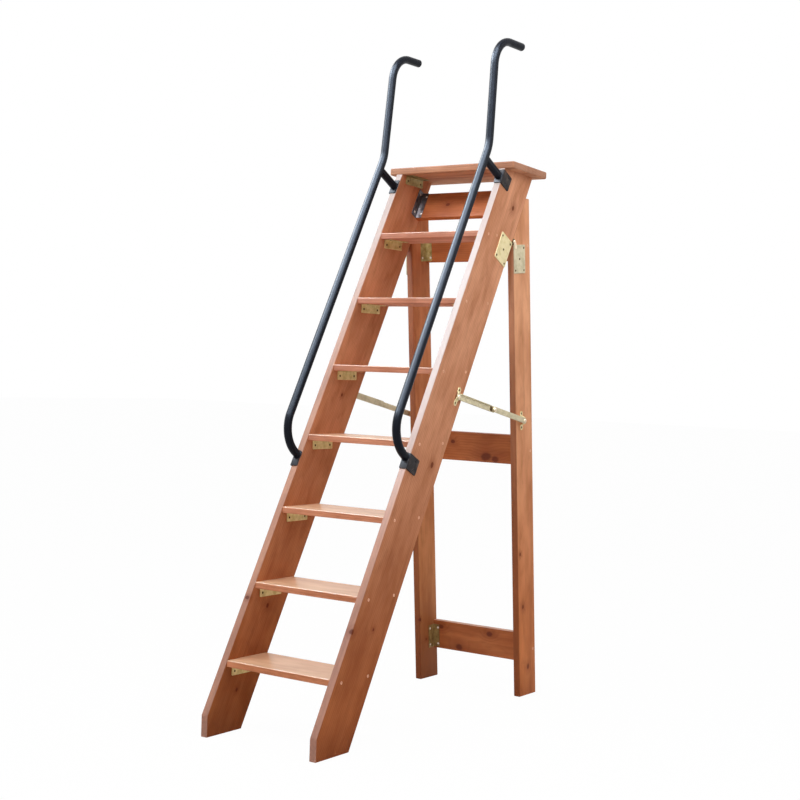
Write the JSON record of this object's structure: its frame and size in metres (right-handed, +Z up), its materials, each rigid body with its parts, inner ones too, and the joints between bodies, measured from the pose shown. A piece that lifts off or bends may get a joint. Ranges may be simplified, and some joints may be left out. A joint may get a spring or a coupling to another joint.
{
  "type": "folding wooden step ladder",
  "caption": "Folding wooden step ladder with raked stringers, treads, a small top board, two bent tube handrails and hinged back legs held by folding stays.",
  "frame": {"origin": "on the floor, midway between the sides and midway between the front of the stringers' feet and the back of the legs' feet", "axes": "+X across the ladder to the climber's right, +Y from the treads' front towards the back legs, +Z up"},
  "size_m": [0.511, 1.2656, 2.2605],
  "materials": {
    "stained_wood": "red-brown stained softwood, satin",
    "black_coat": "black powder coat, satin",
    "zinc_plate": "yellow passivated zinc plate",
    "galvanised_steel": "bright zinc plate",
    "cap_plastic": "black plastic"
  },
  "bodies": {
    "steps": {"stringer_left": "stained_wood", "stringer_right": "stained_wood", "tread_1": "stained_wood", "tread_2": "stained_wood", "tread_3": "stained_wood", "tread_4": "stained_wood", "tread_5": "stained_wood", "tread_6": "stained_wood", "tread_7": "stained_wood", "top_board": "stained_wood", "upper_back_rail": "stained_wood", "handrail_left": "black_coat", "handrail_right": "black_coat", "handrail_end_caps": "cap_plastic", "handrail_upper_bracket_left": "black_coat", "handrail_upper_bracket_right": "black_coat", "handrail_lower_bracket_left": "black_coat", "handrail_lower_bracket_right": "black_coat", "tread_brackets_left": "zinc_plate", "tread_brackets_right": "zinc_plate", "top_board_brackets": "zinc_plate", "back_rail_brackets": "galvanised_steel", "hinge_left_front_leaf": "zinc_plate", "hinge_right_front_leaf": "zinc_plate", "stay_left_front_bracket": "zinc_plate", "stay_right_front_bracket": "zinc_plate"},
    "legs": {"leg_left": "stained_wood", "leg_right": "stained_wood", "leg_rail_top": "stained_wood", "leg_rail_middle": "stained_wood", "leg_rail_bottom": "stained_wood", "leg_rail_brackets_left": "zinc_plate", "leg_rail_brackets_right": "zinc_plate", "hinge_left_rear_leaf": "zinc_plate", "hinge_right_rear_leaf": "zinc_plate", "stay_left_rear_bracket": "zinc_plate", "stay_right_rear_bracket": "zinc_plate"},
    "stay_left_front": {"stay_left_front_link": "zinc_plate"},
    "stay_left_rear": {"stay_left_rear_link": "zinc_plate"},
    "stay_right_front": {"stay_right_front_link": "zinc_plate"},
    "stay_right_rear": {"stay_right_rear_link": "zinc_plate"}
  },
  "joints": [
    {"name": "legs_fold", "type": "hinge", "parent": "steps", "child": "legs", "pos_m": [0, 0.3662, 1.5812], "axis": [-1, 0, 0], "range_deg": [0, 33.4]},
    {"name": "stay_left_front_fold", "type": "hinge", "parent": "steps", "child": "stay_left_front", "pos_m": [0, 0.0469, 1.053], "axis": [1, 0, 0], "range_deg": [0, 50.72]},
    {"name": "stay_left_rear_fold", "type": "hinge", "parent": "legs", "child": "stay_left_rear", "pos_m": [0, 0.4619, 0.972], "axis": [-1, 0, 0], "range_deg": [0, 76.86]},
    {"name": "stay_right_front_fold", "type": "hinge", "parent": "steps", "child": "stay_right_front", "pos_m": [0, 0.0469, 1.053], "axis": [1, 0, 0], "range_deg": [0, 50.72]},
    {"name": "stay_right_rear_fold", "type": "hinge", "parent": "legs", "child": "stay_right_rear", "pos_m": [0, 0.4619, 0.972], "axis": [-1, 0, 0], "range_deg": [0, 76.86]}
  ],
  "couplings": [
    {"joint": "stay_left_front_fold", "follows": "legs_fold", "ratio": 1.5183},
    {"joint": "stay_left_rear_fold", "follows": "legs_fold", "ratio": 2.3008},
    {"joint": "stay_right_front_fold", "follows": "legs_fold", "ratio": 1.5183},
    {"joint": "stay_right_rear_fold", "follows": "legs_fold", "ratio": 2.3008}
  ]
}
